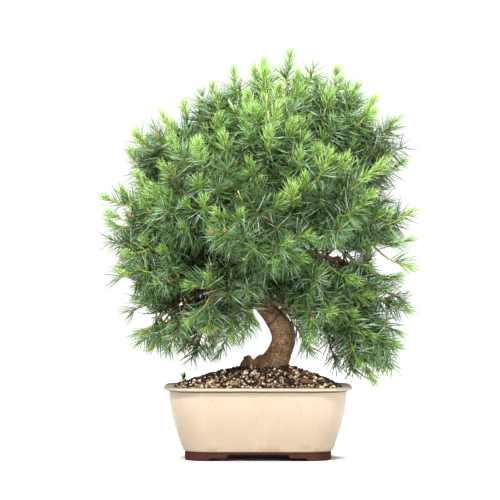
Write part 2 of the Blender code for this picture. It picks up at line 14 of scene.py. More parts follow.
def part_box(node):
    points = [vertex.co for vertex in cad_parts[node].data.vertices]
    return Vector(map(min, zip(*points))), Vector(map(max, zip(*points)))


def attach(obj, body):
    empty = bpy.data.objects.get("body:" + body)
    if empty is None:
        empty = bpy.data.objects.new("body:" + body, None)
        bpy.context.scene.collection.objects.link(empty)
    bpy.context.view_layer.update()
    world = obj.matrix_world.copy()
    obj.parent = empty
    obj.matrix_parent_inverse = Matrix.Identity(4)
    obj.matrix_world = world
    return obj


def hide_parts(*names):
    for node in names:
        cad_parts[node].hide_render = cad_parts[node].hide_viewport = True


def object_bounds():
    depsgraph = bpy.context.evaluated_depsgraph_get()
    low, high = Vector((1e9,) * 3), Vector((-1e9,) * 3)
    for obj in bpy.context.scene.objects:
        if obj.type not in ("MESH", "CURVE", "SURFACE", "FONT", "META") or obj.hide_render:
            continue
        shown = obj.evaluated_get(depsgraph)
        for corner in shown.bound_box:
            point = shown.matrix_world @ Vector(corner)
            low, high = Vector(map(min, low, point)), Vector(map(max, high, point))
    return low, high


bl_info = {
    "name": "Pine Bonsai",
    "version": (1, 0, 0),
    "blender": (4, 5, 0),
    "location": "3D View > Sidebar > Bonsai",
    "description": "Adds a pine bonsai in a glazed rectangular pot",
    "category": "Add Mesh",
}

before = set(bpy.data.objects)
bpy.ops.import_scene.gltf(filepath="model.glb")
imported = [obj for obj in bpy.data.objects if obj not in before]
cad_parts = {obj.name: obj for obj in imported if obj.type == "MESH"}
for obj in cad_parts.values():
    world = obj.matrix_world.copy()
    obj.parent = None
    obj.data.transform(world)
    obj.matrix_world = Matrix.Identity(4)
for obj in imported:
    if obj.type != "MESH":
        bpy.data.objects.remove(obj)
cad_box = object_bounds()

BODY = "root"
# The pieces' own map: along a needle or grain, and its tone with a narrow band for its sides
MAP = "OFBake"
TONE_BAND = 0.03
POT_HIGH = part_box("pot")[1]
GRIT_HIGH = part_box("grit_dressing")[1]

CORNER_SEGMENTS = 14
WALL_STEPS = 14
INSIDE_STEPS = 6
CUTTER_REACH = 0.2
CREASE_ANGLE = 34
# The old stump stands to the left of this
STUMP_X = -0.006
# Height, less the place across, of the painted shade line along the fold in the bark below the first limbs
FOLD_SHADE = 0.170
# Turn from one leaf or shoot to the next, in radians
GOLDEN_TURN = 2.4
SHOOT_TRIES = 18000
# Tones of the needles' ramp
CANDLE_TONE = 0.85
DEAD_TONE = 0.895
# Pale glaucous tones: partly the needles' own bloom, partly painted highlights
GLAUCOUS_HIGHLIGHT_TONES = (0.94, 0.968)
# How far the needles may reach past the frame's box: as a share of its sides, and in metres
REACH_SHARE = 0.029
REACH = 0.0095
LAMP_AIM = Vector((0, 0, 0.25))


def linear(red, green, blue):
    """A colour given as 8-bit display values, as the shader wants it."""
    values = [channel / 255 for channel in (red, green, blue)]
    return tuple(v / 12.92 if v <= 0.04045 else ((v + 0.055) / 1.055) ** 2.4 for v in values)


def shades(*rows):
    """Stops of a ramp, each given as its place and its 8-bit display colour."""
    return tuple((place, linear(*colour)) for place, *colour in rows)


# Settings


def length_setting(name, description, default):
    return bpy.props.FloatProperty(
        name=name, description=description, default=default, min=0, precision=4, unit="LENGTH"
    )


def colour_setting(name, description, default):
    return bpy.props.FloatVectorProperty(
        name=name, description=description, default=default, size=3, min=0, max=1, subtype="COLOR"
    )


class PotSettings(bpy.types.PropertyGroup):
    """Sizes and glaze of the pot"""

    foot_height: length_setting("Foot Height", "Height of the bracket feet", 0.012)
    foot_length: length_setting("Foot Length", "Length of a foot along the pot's front", 0.034)
    foot_side_length: length_setting("Foot Side Length", "Length of a foot along the pot's end", 0.030)
    scroll_length: length_setting("Scroll Length", "Length of the step beside a front foot", 0.024)
    side_scroll_length: length_setting("Side Scroll", "Length of the step beside an end foot", 0.010)
    scroll_height: length_setting("Scroll Height", "Height of the opening below the step", 0.0042)
    arch_height: length_setting("Arch Height", "Height of the opening between the feet", 0.0095)
    ring_width: length_setting("Ring Width", "Thickness of the foot ring", 0.016)
    foot_setback: length_setting("Foot Setback", "How far the feet stand in from the base's edge", 0.002)
    rim_overhang: length_setting("Rim Overhang", "How far the lip stands out from the body", 0.0075)
    rim_height: length_setting("Rim Height", "Height of the lip", 0.0050)
    rim_width: length_setting("Rim Width", "Width of the lip seen from above", 0.0145)
    base_inset: length_setting("Base Inset", "How far the body draws in towards its base", 0.0195)
    base_corner: length_setting("Base Corner", "Radius of the corners at the base", 0.038)
    floor_thickness: length_setting("Floor Thickness", "Thickness of the pot's floor", 0.009)
    wall: length_setting("Wall", "Thickness of the wall", 0.008)
    hole_radius: length_setting("Hole Radius", "Radius of a drainage hole", 0.010)
    hole_spread: length_setting("Hole Spread", "Distance of a drainage hole from the middle", 0.050)
    glaze: colour_setting("Glaze", "Colour of the glaze", linear(197, 178, 156))
    speck: colour_setting("Speck", "Colour of the iron specks", linear(136, 86, 44))
    clay: colour_setting("Clay", "Colour of the bare clay", linear(80, 39, 24))


class SoilSettings(bpy.types.PropertyGroup):
    """Soil and grit"""

    grain_size: length_setting("Grain Size", "Mean length of a grain of grit", 0.0046)
    grains: bpy.props.IntProperty(name="Grains", description="Number of grains", default=5600, min=0)
    soil: colour_setting("Soil", "Colour of the soil", linear(48, 33, 25))


class WoodSettings(bpy.types.PropertyGroup):
    """Trunk, limbs and twigs"""

    detail: length_setting("Detail", "Size of the trunk's faces", 0.0012)
    wrinkle: length_setting("Wrinkle", "Depth of the bark's wrinkles", 0.0004)
    twig_radius: length_setting("Twig Radius", "Radius of a twig where it leaves its limb", 0.0016)
    stem_radius: length_setting("Stem Radius", "Radius of a young stem", 0.0010)
    bark: colour_setting("Bark", "Main colour of the bark", linear(150, 113, 85))


class FoliageSettings(bpy.types.PropertyGroup):
    """Shoots and needles"""

    spacing: length_setting("Spacing", "Least distance between the tips of two shoots", 0.0245)
    shoot_length: length_setting("Shoot Length", "Mean length of a shoot", 0.070)
    needle_length: length_setting("Needle Length", "Length of a grown needle", 0.035)
    needle_width: length_setting("Needle Width", "Width of a needle", 0.00145)
    per_shoot: bpy.props.IntProperty(
        name="Needles", description="Needles on a shoot of mean length", default=84, min=1
    )
    bare_height: length_setting("Bare Height", "Height up to which the trunk shows", 0.206)
    inner: bpy.props.IntProperty(
        name="Inner Shoots", description="Shoots that leave each limb on its way out", default=11, min=0
    )


class StageSettings(bpy.types.PropertyGroup):
    """Floor, lights and camera"""

    distance: length_setting("Distance", "Distance of the camera from the tree", 4.0)
    height: length_setting("Height", "Height of the camera", 0.289)
    aside: bpy.props.FloatProperty(
        name="Aside", description="Camera's place along X", default=-0.011, unit="LENGTH"
    )
    lens: bpy.props.FloatProperty(
        name="Lens", description="Focal length", default=207.0, min=1, unit="CAMERA"
    )
    sky: bpy.props.FloatProperty(
        name="Sky", description="Strength of the light from all round", default=0.26, min=0
    )
    backdrop: bpy.props.FloatProperty(
        name="Backdrop", description="Brightness of the bare background", default=1.05, min=0
    )


# Materials


class Channel:
    """A socket of a material's nodes. Arithmetic on it adds Math nodes."""

    def __init__(self, finish, socket):
        self.finish = finish
        self.socket = socket

    def _math(self, operation, *values):
        return self.finish.node("ShaderNodeMath", {"operation": operation}, dict(enumerate(values)))

    def __add__(self, other):
        return self._math("ADD", self, other)

    def __radd__(self, other):
        return self._math("ADD", other, self)

    def __sub__(self, other):
        return self._math("SUBTRACT", self, other)

    def __rsub__(self, other):
        return self._math("SUBTRACT", other, self)

    def __mul__(self, other):
        return self._math("MULTIPLY", self, other)

    def above(self, edge, softness):
        """0 below the edge and 1 above it, with a soft step between."""
        return self.finish.node(
            "ShaderNodeMapRange",
            {"interpolation_type": "SMOOTHSTEP"},
            {"Value": self, "From Min": edge - softness, "From Max": edge + softness},
        )

    def below(self, edge, softness):
        return 1 - self.above(edge, softness)


class Finish:
    """A material whose nodes are added by its methods."""

    def __init__(self, name, roughness=0.5, specular=0.5):
        self.material = bpy.data.materials.new(name)
        self.material.use_nodes = True
        self.tree = self.material.node_tree
        self.shader = self.tree.nodes["Principled BSDF"]
        self.shader.inputs["Roughness"].default_value = roughness
        self.shader.inputs["Specular IOR Level"].default_value = specular

    def node(self, kind, settings=None, inputs=None, output=0):
        """Adds a node, sets its settings, then fills or links its sockets, and gives one output."""
        node = self.tree.nodes.new(kind)
        for name, value in (settings or {}).items():
            if name == "stops":
                self.set_stops(node.color_ramp, value)
            else:
                setattr(node, name, value)
        for name, value in (inputs or {}).items():
            self.fill(node.inputs[name], value)
        return Channel(self, node.outputs[output])

    def fill(self, socket, value):
        if isinstance(value, Channel):
            self.tree.links.new(value.socket, socket)
        elif isinstance(value, tuple) and len(value) == 3 and socket.type == "RGBA":
            socket.default_value = (*value, 1)
        else:
            socket.default_value = value

    @staticmethod
    def set_stops(ramp, stops):
        while len(ramp.elements) < len(stops):
            ramp.elements.new(1)
        for element, (place, colour) in zip(ramp.elements, stops):
            element.position = place
            element.color = (*colour, 1)

    def place(self, stretch=(1, 1, 1)):
        """Object coordinates, each axis multiplied by its stretch."""
        coordinates = self.node("ShaderNodeTexCoord", output="Object")
        if stretch == (1, 1, 1):
            return coordinates
        return self.node("ShaderNodeMapping", None, {"Vector": coordinates, "Scale": stretch})

    def axis(self, name):
        return self.node("ShaderNodeSeparateXYZ", None, {"Vector": self.place()}, name)

    def noise(self, scale, detail=2.0, stretch=(1, 1, 1), roughness=0.5, distortion=0.0):
        inputs = {"Vector": self.place(stretch), "Scale": scale, "Detail": detail}
        inputs |= {"Roughness": roughness, "Distortion": distortion}
        return self.node("ShaderNodeTexNoise", None, inputs)

    def cells(self, scale, stretch=(1, 1, 1)):
        inputs = {"Vector": self.place(stretch), "Scale": scale}
        return self.node("ShaderNodeTexVoronoi", None, inputs, "Distance")

    def ramp(self, factor, stops):
        return self.node("ShaderNodeValToRGB", {"stops": stops}, {"Fac": factor}, "Color")

    def mix(self, factor, first, second, blend="MIX"):
        node = self.tree.nodes.new("ShaderNodeMix")
        node.data_type = "RGBA"
        node.blend_type = blend
        self.fill(node.inputs[0], factor)
        self.fill(node.inputs[6], first)
        self.fill(node.inputs[7], second)
        return Channel(self, node.outputs[2])

    def start(self, factor, first, second):
        """The colours that the finish begins with."""
        self.colour = self.mix(factor, first, second)

    def over(self, factor, *colour):
        """Lays an 8-bit display colour over what the finish has so far."""
        self.colour = self.mix(factor, self.colour, linear(*colour))

    def set(self, name, value):
        self.fill(self.shader.inputs[name], value)

    def done(self, roughness=None, bump=None):
        """The material. bump is a height, its distance and its strength."""
        self.set("Base Color", self.colour)
        if roughness is not None:
            self.set("Roughness", roughness)
        if bump:
            inputs = dict(zip(("Height", "Distance", "Strength"), bump))
            self.set("Normal", self.node("ShaderNodeBump", None, inputs))
        return self.material


def glaze_finish(pot):
    """Cream glaze: faint clouding, iron specks, clay showing through near the foot, and a painted shade line
    under the lip.
    """
    finish = Finish("cream_glaze", specular=0.5)
    height = finish.axis("Z")
    finish.start(finish.noise(9, 3), tuple(pot.glaze), linear(190, 170, 146))
    clouds = finish.noise(45, 4, (1, 1, 0.35)).above(0.62, 0.1)
    finish.over(clouds * 0.35, 208, 191, 172)
    fine = finish.cells(520).below(0.20, 0.05) * finish.noise(60, 2).above(0.50, 0.08)
    coarse = finish.cells(150).below(0.10, 0.03) * finish.noise(23, 2).above(0.5, 0.05)
    for specks in (fine * 0.42, coarse * 0.75):
        finish.colour = finish.mix(specks, finish.colour, tuple(pot.speck))
    lip = POT_HIGH[2] - pot.rim_height
    # Painted shade: a dark brown line in the crease under the lip's overhang
    wavy = height + (finish.noise(30, 2) - 0.5) * 0.0009
    under_lip_shade = wavy.above(lip - 0.0015, 0.0004) * wavy.below(lip + 0.0012, 0.0004)
    finish.over(under_lip_shade, 98, 64, 38)
    stain = height.below(pot.foot_height + 0.008, 0.006) * finish.noise(38, 4).above(0.55, 0.06)
    finish.over(stain * 0.35, 150, 112, 74)
    foot = wavy.below(pot.foot_height + 0.0012, 0.0009)
    finish.over(foot * 0.75, 120, 70, 40)
    finish.set("Coat Weight", 0.25)
    finish.set("Coat Roughness", 0.12)
    waves = finish.noise(55, 3) + finish.noise(300, 2) * 0.25
    return finish.done(0.24 + finish.noise(70, 3) * 0.16, (waves, 0.0006, 0.35))


def clay_finish(pot):
    """Bare red-brown clay with darker burnt patches and fine grog."""
    finish = Finish("bare_clay", specular=0.3)
    finish.start(finish.noise(60, 4), tuple(pot.clay), linear(50, 25, 16))
    finish.over(finish.cells(620).below(0.25, 0.12) * 0.5, 108, 58, 36)
    pits = finish.noise(420, 4) + finish.cells(500) * 0.5
    return finish.done(0.68 + finish.noise(140, 3) * 0.25, (pits, 0.0005, 0.6))


def soil_finish(soil):
    """Dark crumbly soil."""
    finish = Finish("potting_soil", specular=0.2)
    finish.start(finish.noise(150, 4), tuple(soil.soil), linear(34, 25, 21))
    finish.over(finish.cells(260).below(0.3, 0.15) * 0.5, 92, 70, 54)
    crumbs = finish.noise(500, 5) + finish.cells(240)
    return finish.done(0.85 + finish.noise(90, 2) * 0.12, (crumbs, 0.0012, 0.8))


def tone_map(finish):
    """Along and tone: the two directions of a piece's own map."""
    coordinates = finish.node("ShaderNodeUVMap", {"uv_map": MAP})
    along = finish.node("ShaderNodeSeparateXYZ", None, {"Vector": coordinates}, "X")
    tone = finish.node("ShaderNodeSeparateXYZ", None, {"Vector": coordinates}, "Y")
    return along, tone


def grit_finish():
    """Grains of grit: each grain's tone says which stone it is."""
    finish = Finish("grit", specular=0.25)
    _, tone = tone_map(finish)
    stops = shades(
        (0.00, 20, 13, 10),
        (0.25, 54, 37, 27),
        (0.45, 92, 66, 47),
        (0.60, 150, 120, 92),
        (0.78, 206, 178, 146),
        (1.00, 248, 232, 206),
    )
    finish.colour = finish.ramp(tone, stops)
    return finish.done(0.88)


def bark_finish(wood):
    """Young bark: grey-brown skin with wrinkles across, darker and greener near the ground."""
    finish = Finish("bark", specular=0.25)
    across = finish.noise(55, 5, (1, 1, 2.4), 0.65, 0.8)
    patches = finish.noise(30, 3)
    mottle = finish.noise(420, 3)
    darker, paler = shades((0.28, 98, 68, 48), (0.42, 134, 98, 72)), shades((0.76, 194, 158, 124))
    finish.colour = finish.ramp(across, (*darker, (0.56, tuple(wood.bark)), *paler))
    finish.over(patches.above(0.55, 0.12) * 0.5, 200, 168, 134)
    finish.over(patches.below(0.44, 0.1) * 0.5, 104, 72, 50)
    finish.over(mottle.below(0.43, 0.07) * 0.55, 82, 57, 40)
    finish.over(mottle.above(0.58, 0.07) * 0.45, 212, 182, 148)
    uneven = finish.axis("Z") + (finish.noise(40, 3) - 0.5) * 0.03
    low = uneven.below(GRIT_HIGH[2] + 0.006, 0.016)
    finish.over(low * 0.65, 74, 60, 36)
    scars = finish.cells(150, (1, 1, 2.2)).below(0.16, 0.06) * finish.noise(35, 2).above(0.54, 0.08)
    finish.over(scars * 0.8, 54, 38, 28)
    # Painted shade: a dark line along the fold in the bark below the first limbs
    slant = finish.axis("Z") - finish.axis("X") + (finish.noise(130, 3) - 0.5) * 0.008
    fold_shade = slant.above(FOLD_SHADE - 0.0022, 0.0012) * slant.below(FOLD_SHADE + 0.0022, 0.0012)
    finish.over(fold_shade * finish.axis("X").below(0.030, 0.004) * 0.7, 58, 40, 29)
    splinters = finish.noise(260, 3, (1, 1, 0.2))
    wood_colour = finish.ramp(splinters, shades((0.4, 44, 30, 22), (0.7, 160, 124, 90)))
    stump = finish.axis("X").below(STUMP_X - 0.003, 0.004)
    finish.colour = finish.mix(stump * 0.8, finish.colour, wood_colour)
    wrinkles = across * 0.6 + mottle * 0.35 - scars * 0.6
    return finish.done(0.66 + across * 0.25, (wrinkles, 0.0012, 0.7))


def twig_finish(name, dark, pale):
    """Wood or young stem of a twig, mottled along its length."""
    finish = Finish(name, roughness=0.6, specular=0.3)
    finish.start(finish.noise(180, 3), dark, pale)
    return finish.done(bump=(finish.noise(700, 3), 0.0004, 0.5))


def needle_finish():
    """Needles: tone runs from old blue-green to new yellow-green, then dead brown, then pale glaucous, partly
    the needles' own bloom and partly painted highlights.
    """
    finish = Finish("needles", roughness=0.42, specular=0.5)
    along, tone = tone_map(finish)
    stops = shades(
        (0.00, 34, 48, 26),
        (0.18, 61, 88, 46),
        (0.38, 94, 133, 72),
        (0.56, 116, 164, 78),
        (0.74, 144, 196, 94),
        (0.88, 194, 226, 130),
        (0.90, 134, 106, 74),
        (0.93, 158, 132, 96),
        # Pale glaucous, partly the needles' own bloom and partly painted highlights on lit needles
        (0.945, 154, 184, 152),
        (1.00, 196, 218, 190),
    )
    finish.colour = finish.ramp(tone, stops)
    finish.over(along.below(0.10, 0.09) * 0.5, 184, 186, 112)
    finish.over(along.above(0.82, 0.14) * 0.28, 186, 192, 112)
    return finish.done()


def bud_finish(name, dark, pale):
    """A candle or bud, paler in the gaps between its scales."""
    finish = Finish(name, roughness=0.7, specular=0.3)
    finish.start(finish.cells(900), dark, pale)
    return finish.done(bump=(finish.cells(900), 0.0005, 0.8))


# Shapes


def deselect():
    if bpy.context.object and bpy.context.object.mode != "OBJECT":
        bpy.ops.object.mode_set(mode="OBJECT")
    bpy.ops.object.select_all(action="DESELECT")


def take_up(obj):
    """Makes the object the only selected one, and the active one."""
    deselect()
    obj.select_set(True)
    bpy.context.view_layer.objects.active = obj
    return obj


def placed(name, data):
    obj = bpy.data.objects.new(name, data)
    bpy.context.scene.collection.objects.link(obj)
    return obj


def edit_all(obj):
    """Opens the object in edit mode with all of it selected."""
    take_up(obj)
    bpy.ops.object.mode_set(mode="EDIT")
    bpy.ops.mesh.select_all(action="SELECT")


def turn_outward():
    """Turns all faces outward and leaves edit mode."""
    bpy.ops.mesh.select_all(action="SELECT")
    bpy.ops.mesh.normals_make_consistent(inside=False)
    bpy.ops.object.mode_set(mode="OBJECT")


def added(name):
    """Names the primitive that was just added and opens it in edit mode."""
    obj = bpy.context.object
    obj.name = name
    obj.data.name = name
    bpy.ops.object.transform_apply(location=True, rotation=True, scale=True)
    bpy.ops.object.mode_set(mode="EDIT")
    bpy.ops.mesh.select_all(action="SELECT")
    return obj


def apply_modifier(obj, kind, **settings):
    take_up(obj)
    modifier = obj.modifiers.new(kind.title(), kind)
    for name, value in settings.items():
        setattr(modifier, name, value)
    bpy.ops.object.modifier_apply(modifier=modifier.name)


def cut_with(obj, cutter):
    apply_modifier(obj, "BOOLEAN", operation="DIFFERENCE", solver="EXACT", object=cutter)
    bpy.data.objects.remove(cutter, do_unlink=True)


def finished(obj, material, slot, *nodes):
    """Gives a piece its material and body, and hides the nodes that it stands for. slot is not used."""
    obj.data.materials.clear()
    obj.data.materials.append(material)
    deselect()
    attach(obj, BODY)
    if nodes:
        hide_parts(*nodes)
    return obj


def smooth(obj, angle=None):
    take_up(obj)
    if angle is None:
        bpy.ops.object.shade_smooth()
    else:
        bpy.ops.object.shade_smooth_by_angle(angle=math.radians(angle))
    return obj


def copy_of_node(node, name):
    """A copy of a frame node with its doubles merged, ready to be shaped."""
    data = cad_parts[node].data.copy()
    data.name = name
    obj = placed(name, data)
    edit_all(obj)
    bpy.ops.mesh.remove_doubles(threshold=1e-6)
    bpy.ops.object.mode_set(mode="OBJECT")
    return obj


def coordinates_of(mesh):
    found = np.empty(len(mesh.vertices) * 3, np.float32)
    mesh.vertices.foreach_get("co", found)
    return found.reshape(-1, 3)


class Pattern:
    """A small modelled shape whose copies are set by the thousand: its corners, faces and map."""

    def __init__(self, obj, along_axis=2):
        mesh = obj.data
        self.points = coordinates_of(mesh).astype(np.float64)
        self.faces = [tuple(face.vertices) for face in mesh.polygons]
        length = self.points[:, along_axis]
        share = (length - length.min()) / max(np.ptp(length), 1e-9)
        self.map = []
        for number, face in enumerate(self.faces):
            side = number % 3
            for turn, corner in enumerate(face):
                spread = (side + turn / max(len(face) - 1, 1)) / 3
                self.map.append((0.03 + 0.94 * share[corner] * 0.985, spread))
        self.map = np.array(self.map)
        bpy.data.objects.remove(obj, do_unlink=True)


def scatter(name, pattern, places, turns, tones):
    """One mesh of the pattern's copies. turns holds a 3 by 3 matrix for each, with its scale in it."""
    count = len(places)
    corners = np.einsum("nij,kj->nki", turns, pattern.points) + places[:, None, :]
    size = len(pattern.points)
    sizes = [len(face) for face in pattern.faces]
    flat = np.array([corner for face in pattern.faces for corner in face])
    loops = (flat[None, :] + size * np.arange(count)[:, None]).ravel()
    mesh = bpy.data.meshes.new(name)
    mesh.vertices.add(count * size)
    mesh.vertices.foreach_set("co", corners.astype(np.float32).ravel())
    mesh.loops.add(len(loops))
    mesh.loops.foreach_set("vertex_index", loops.astype(np.int32))
    totals = np.tile(sizes, count)
    mesh.polygons.add(len(totals))
    mesh.polygons.foreach_set("loop_start", (np.cumsum(totals) - totals).astype(np.int32))
    mesh.update(calc_edges=True)
    layer = mesh.uv_layers.new(name=MAP)
    across = np.tile(pattern.map[:, 0], count)
    band = np.repeat(tones, len(flat)) + np.tile(pattern.map[:, 1], count) * TONE_BAND
    values = np.stack([across, band.clip(0.004, 0.996)], 1)
    layer.uv.foreach_set("vector", values.astype(np.float32).ravel())
    mesh.validate()
    return smooth(placed(name, mesh))


def unit(vectors):
    return vectors / np.maximum(np.linalg.norm(vectors, axis=-1, keepdims=True), 1e-12)


def frames_along(directions, sideways):
    """Rotations whose Z is each direction and whose X leans to each sideways vector."""
    ahead = unit(directions)
    right = unit(sideways - (sideways * ahead).sum(1, keepdims=True) * ahead)
    return np.stack([right, np.cross(ahead, right), ahead], 2)


def tubes(name, lines, sides):
    """One mesh of closed tubes. Each line is a list of points and a list of radii."""
    curve = bpy.data.curves.new(name, "CURVE")
    curve.dimensions = "3D"
    curve.bevel_depth = 1.0
    curve.bevel_resolution = sides
    curve.use_fill_caps = True
    for points, radii in lines:
        spline = curve.splines.new("POLY")
        spline.points.add(len(points) - 1)
        for point, place, radius in zip(spline.points, points, radii):
            point.co = (*place, 1)
            point.radius = radius
    take_up(placed(name, curve))
    bpy.ops.object.convert(target="MESH")
    edit_all(bpy.context.object)
    bpy.ops.mesh.remove_doubles(threshold=1e-6)
    turn_outward()
    return smooth(bpy.context.object)


# Pot


class Raised:
    """A rounded rectangle whose face is extruded from ring to ring of a profile."""

    def __init__(self, name, half_x, half_y, corner, z):
        deselect()
        bpy.ops.mesh.primitive_plane_add(size=1, location=(0, 0, z))
        bpy.context.object.scale = (2 * half_x, 2 * half_y, 1)
        self.obj = added(name)
        bpy.ops.mesh.bevel(
            offset=corner, offset_type="OFFSET", segments=CORNER_SEGMENTS, affect="VERTICES"
        )
        bpy.ops.mesh.select_all(action="SELECT")
        self.half_x, self.half_y, self.z = half_x, half_y, z

    def to(self, half_x, half_y, z):
        bpy.ops.mesh.extrude_region_move(TRANSFORM_OT_translate={"value": (0, 0, z - self.z)})
        bpy.ops.transform.resize(
            value=(half_x / self.half_x, half_y / self.half_y, 1), center_override=(0, 0, z)
        )
        self.half_x, self.half_y, self.z = half_x, half_y, z

    def closed(self):
        turn_outward()
        return self.obj


def add_pot_body(pot):
    half_x, half_y, top = POT_HIGH
    base, lip = pot.foot_height, top - pot.rim_height

    def inset_at(z):
        share = (z - base) / (lip - base)
        return pot.rim_overhang + pot.base_inset * (1 - math.sin(math.pi / 2 * min(max(share, 0), 1)))

    low = inset_at(base)
    body = Raised("pot_body", half_x - low - 0.002, half_y - low - 0.002, pot.base_corner, base)
    body.to(half_x - low, half_y - low, base + 0.0012)
    wall = [base + (lip - base) * (step / WALL_STEPS) for step in range(1, WALL_STEPS + 1)]
    profile = [(inset_at(z), z) for z in wall] + [
        (0.0030, lip + 0.0001),
        (0.0008, lip + 0.0006),
        (0.0000, lip + 0.0018),
        (0.0000, top - 0.0018),
        (0.0006, top - 0.0006),
        (0.0020, top),
        (pot.rim_width - 0.0020, top),
        (pot.rim_width - 0.0006, top - 0.0006),
        (pot.rim_width, top - 0.0025),
        (pot.rim_overhang + pot.wall, lip - 0.003),
    ]
    floor = base + pot.floor_thickness
    for step in range(1, INSIDE_STEPS + 1):
        z = lip - 0.003 + (floor - lip + 0.003) * step / INSIDE_STEPS
        profile.append((inset_at(z) + pot.wall, z))
    for inset, z in profile:
        body.to(half_x - inset, half_y - inset, z)
    shell = body.closed()
    for side in (-1, 1):
        deselect()
        bpy.ops.mesh.primitive_cylinder_add(
            vertices=32, radius=pot.hole_radius, depth=0.04, location=(side * pot.hole_spread, 0, floor)
        )
        cut_with(shell, bpy.context.object)
    return smooth(shell, CREASE_ANGLE)


def foot_cutter(half_opening, height, along_y):
    """A bar across the ring, its upper edges rounded over."""
    deselect()
    bpy.ops.mesh.primitive_cube_add(size=1)
    sizes = (2 * half_opening, 2 * CUTTER_REACH, 2 * height)
    bpy.context.object.scale = (sizes[1], sizes[0], sizes[2]) if along_y else sizes
    obj = added("foot_cutter")
    along = 1 if along_y else 0
    bpy.ops.mesh.select_all(action="DESELECT")
    bpy.ops.mesh.select_mode(type="EDGE")
    mesh = bmesh.from_edit_mesh(obj.data)
    for edge in mesh.edges:
        a, b = (vertex.co for vertex in edge.verts)
        edge.select_set(min(a.z, b.z) > 0 and abs(a[along] - b[along]) < 1e-6)
    bmesh.update_edit_mesh(obj.data)
    bpy.ops.mesh.bevel(offset=height * 0.45, segments=4, affect="EDGES")
    bpy.ops.object.mode_set(mode="OBJECT")
    return obj


def add_pot_feet(pot):
    inset = pot.rim_overhang + pot.base_inset + pot.foot_setback
    half_x, half_y = POT_HIGH[0] - inset, POT_HIGH[1] - inset
    ring = Raised("pot_feet", half_x - 0.0008, half_y - 0.0008, pot.base_corner - 0.003, 0)
    ring.to(half_x, half_y, 0.0010)
    ring.to(half_x, half_y, pot.foot_height + 0.0015)
    feet = ring.closed()
    inside = half_x - pot.ring_width, half_y - pot.ring_width
    hollow = Raised("foot_hollow", *inside, pot.base_corner - pot.ring_width, -0.01)
    hollow.to(*inside, 0.05)
    cut_with(feet, hollow.closed())
    front, side = half_x - pot.foot_length, half_y - pot.foot_side_length
    for height, front_step, side_step in (
        (pot.scroll_height, 0, 0),
        (pot.arch_height, pot.scroll_length, pot.side_scroll_length),
    ):
        cut_with(feet, foot_cutter(front - front_step, height, False))
        cut_with(feet, foot_cutter(side - side_step, height, True))
    return smooth(feet, CREASE_ANGLE)


class BONSAI_OT_pot(bpy.types.Operator):
    """Add the glazed pot and its bare clay feet"""

    bl_idname = "bonsai.add_pot"
    bl_label = "Pot"

    def execute(self, context):
        pot = context.scene.bonsai_pot
        finished(add_pot_body(pot), glaze_finish(pot), "cream_glaze", "pot")
        finished(add_pot_feet(pot), clay_finish(pot), "cream_glaze", "pot")
        return {"FINISHED"}


class BONSAI_OT_drainage(bpy.types.Operator):
    """Finish the drainage screens and their wire clips"""

    bl_idname = "bonsai.finish_drainage"
    bl_label = "Drainage Screens"

    def execute(self, context):
        mesh = Finish("black_mesh", specular=0.4)
        mesh.start(mesh.noise(300, 3), linear(24, 24, 24), linear(52, 50, 47))
        screen = mesh.done(0.45 + mesh.noise(500, 2) * 0.3)
        wire = Finish("copper_wire", specular=0.5)
        wire.start(wire.noise(220, 3), linear(184, 115, 78), linear(112, 76, 58))
        wire.set("Metallic", 1.0)
        clip = wire.done(0.35 + wire.noise(300, 2) * 0.3)
        for side in ("left", "right"):
            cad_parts[f"drain_screen_{side}"].data.materials[0] = screen
            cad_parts[f"screen_clip_{side}"].data.materials[0] = clip
        return {"FINISHED"}


# Soil, grit and the loose pieces on it


def ground_triangles():
    """The upward triangles of the grit layer: corners, normals and areas."""
    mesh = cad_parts["grit_dressing"].data
    mesh.calc_loop_triangles()
    corners = np.array([[mesh.vertices[i].co[:] for i in t.vertices] for t in mesh.loop_triangles])
    cross = np.cross(corners[:, 1] - corners[:, 0], corners[:, 2] - corners[:, 0])
    area = np.linalg.norm(cross, axis=1) / 2
    normal = cross / np.maximum(2 * area[:, None], 1e-12)
    up = (normal[:, 2] > 0.35) & (area > 1e-9)
    return corners[up], normal[up], area[up]


def model_grain(name, seed, flatness):
    """A chip of stone: a ball cut by a few planes."""
    rng = np.random.default_rng(seed)
    deselect()
    bpy.ops.mesh.primitive_ico_sphere_add(subdivisions=1, radius=0.5)
    obj = added(name)
    for _ in range(3):
        direction = unit(rng.normal(size=3))
        bpy.ops.mesh.select_all(action="SELECT")
        bpy.ops.mesh.bisect(
            plane_co=tuple(direction * rng.uniform(0.26, 0.36)),
            plane_no=tuple(direction),
            use_fill=True,
            clear_outer=True,
        )
    bpy.ops.mesh.select_all(action="SELECT")
    bpy.ops.transform.resize(value=(1.0, rng.uniform(0.65, 0.9), flatness))
    bpy.ops.mesh.vert_connect_concave()
    turn_outward()
    return Pattern(obj, 0)


def random_turns(rng, count):
    """Rotations spread evenly over all turns, from random unit quaternions."""
    quaternions = unit(rng.normal(size=(count, 4)))
    skew = np.cross(quaternions[:, None, 1:], np.eye(3)).transpose(0, 2, 1)
    return np.eye(3) + 2 * quaternions[:, :1, None] * skew + 2 * skew @ skew


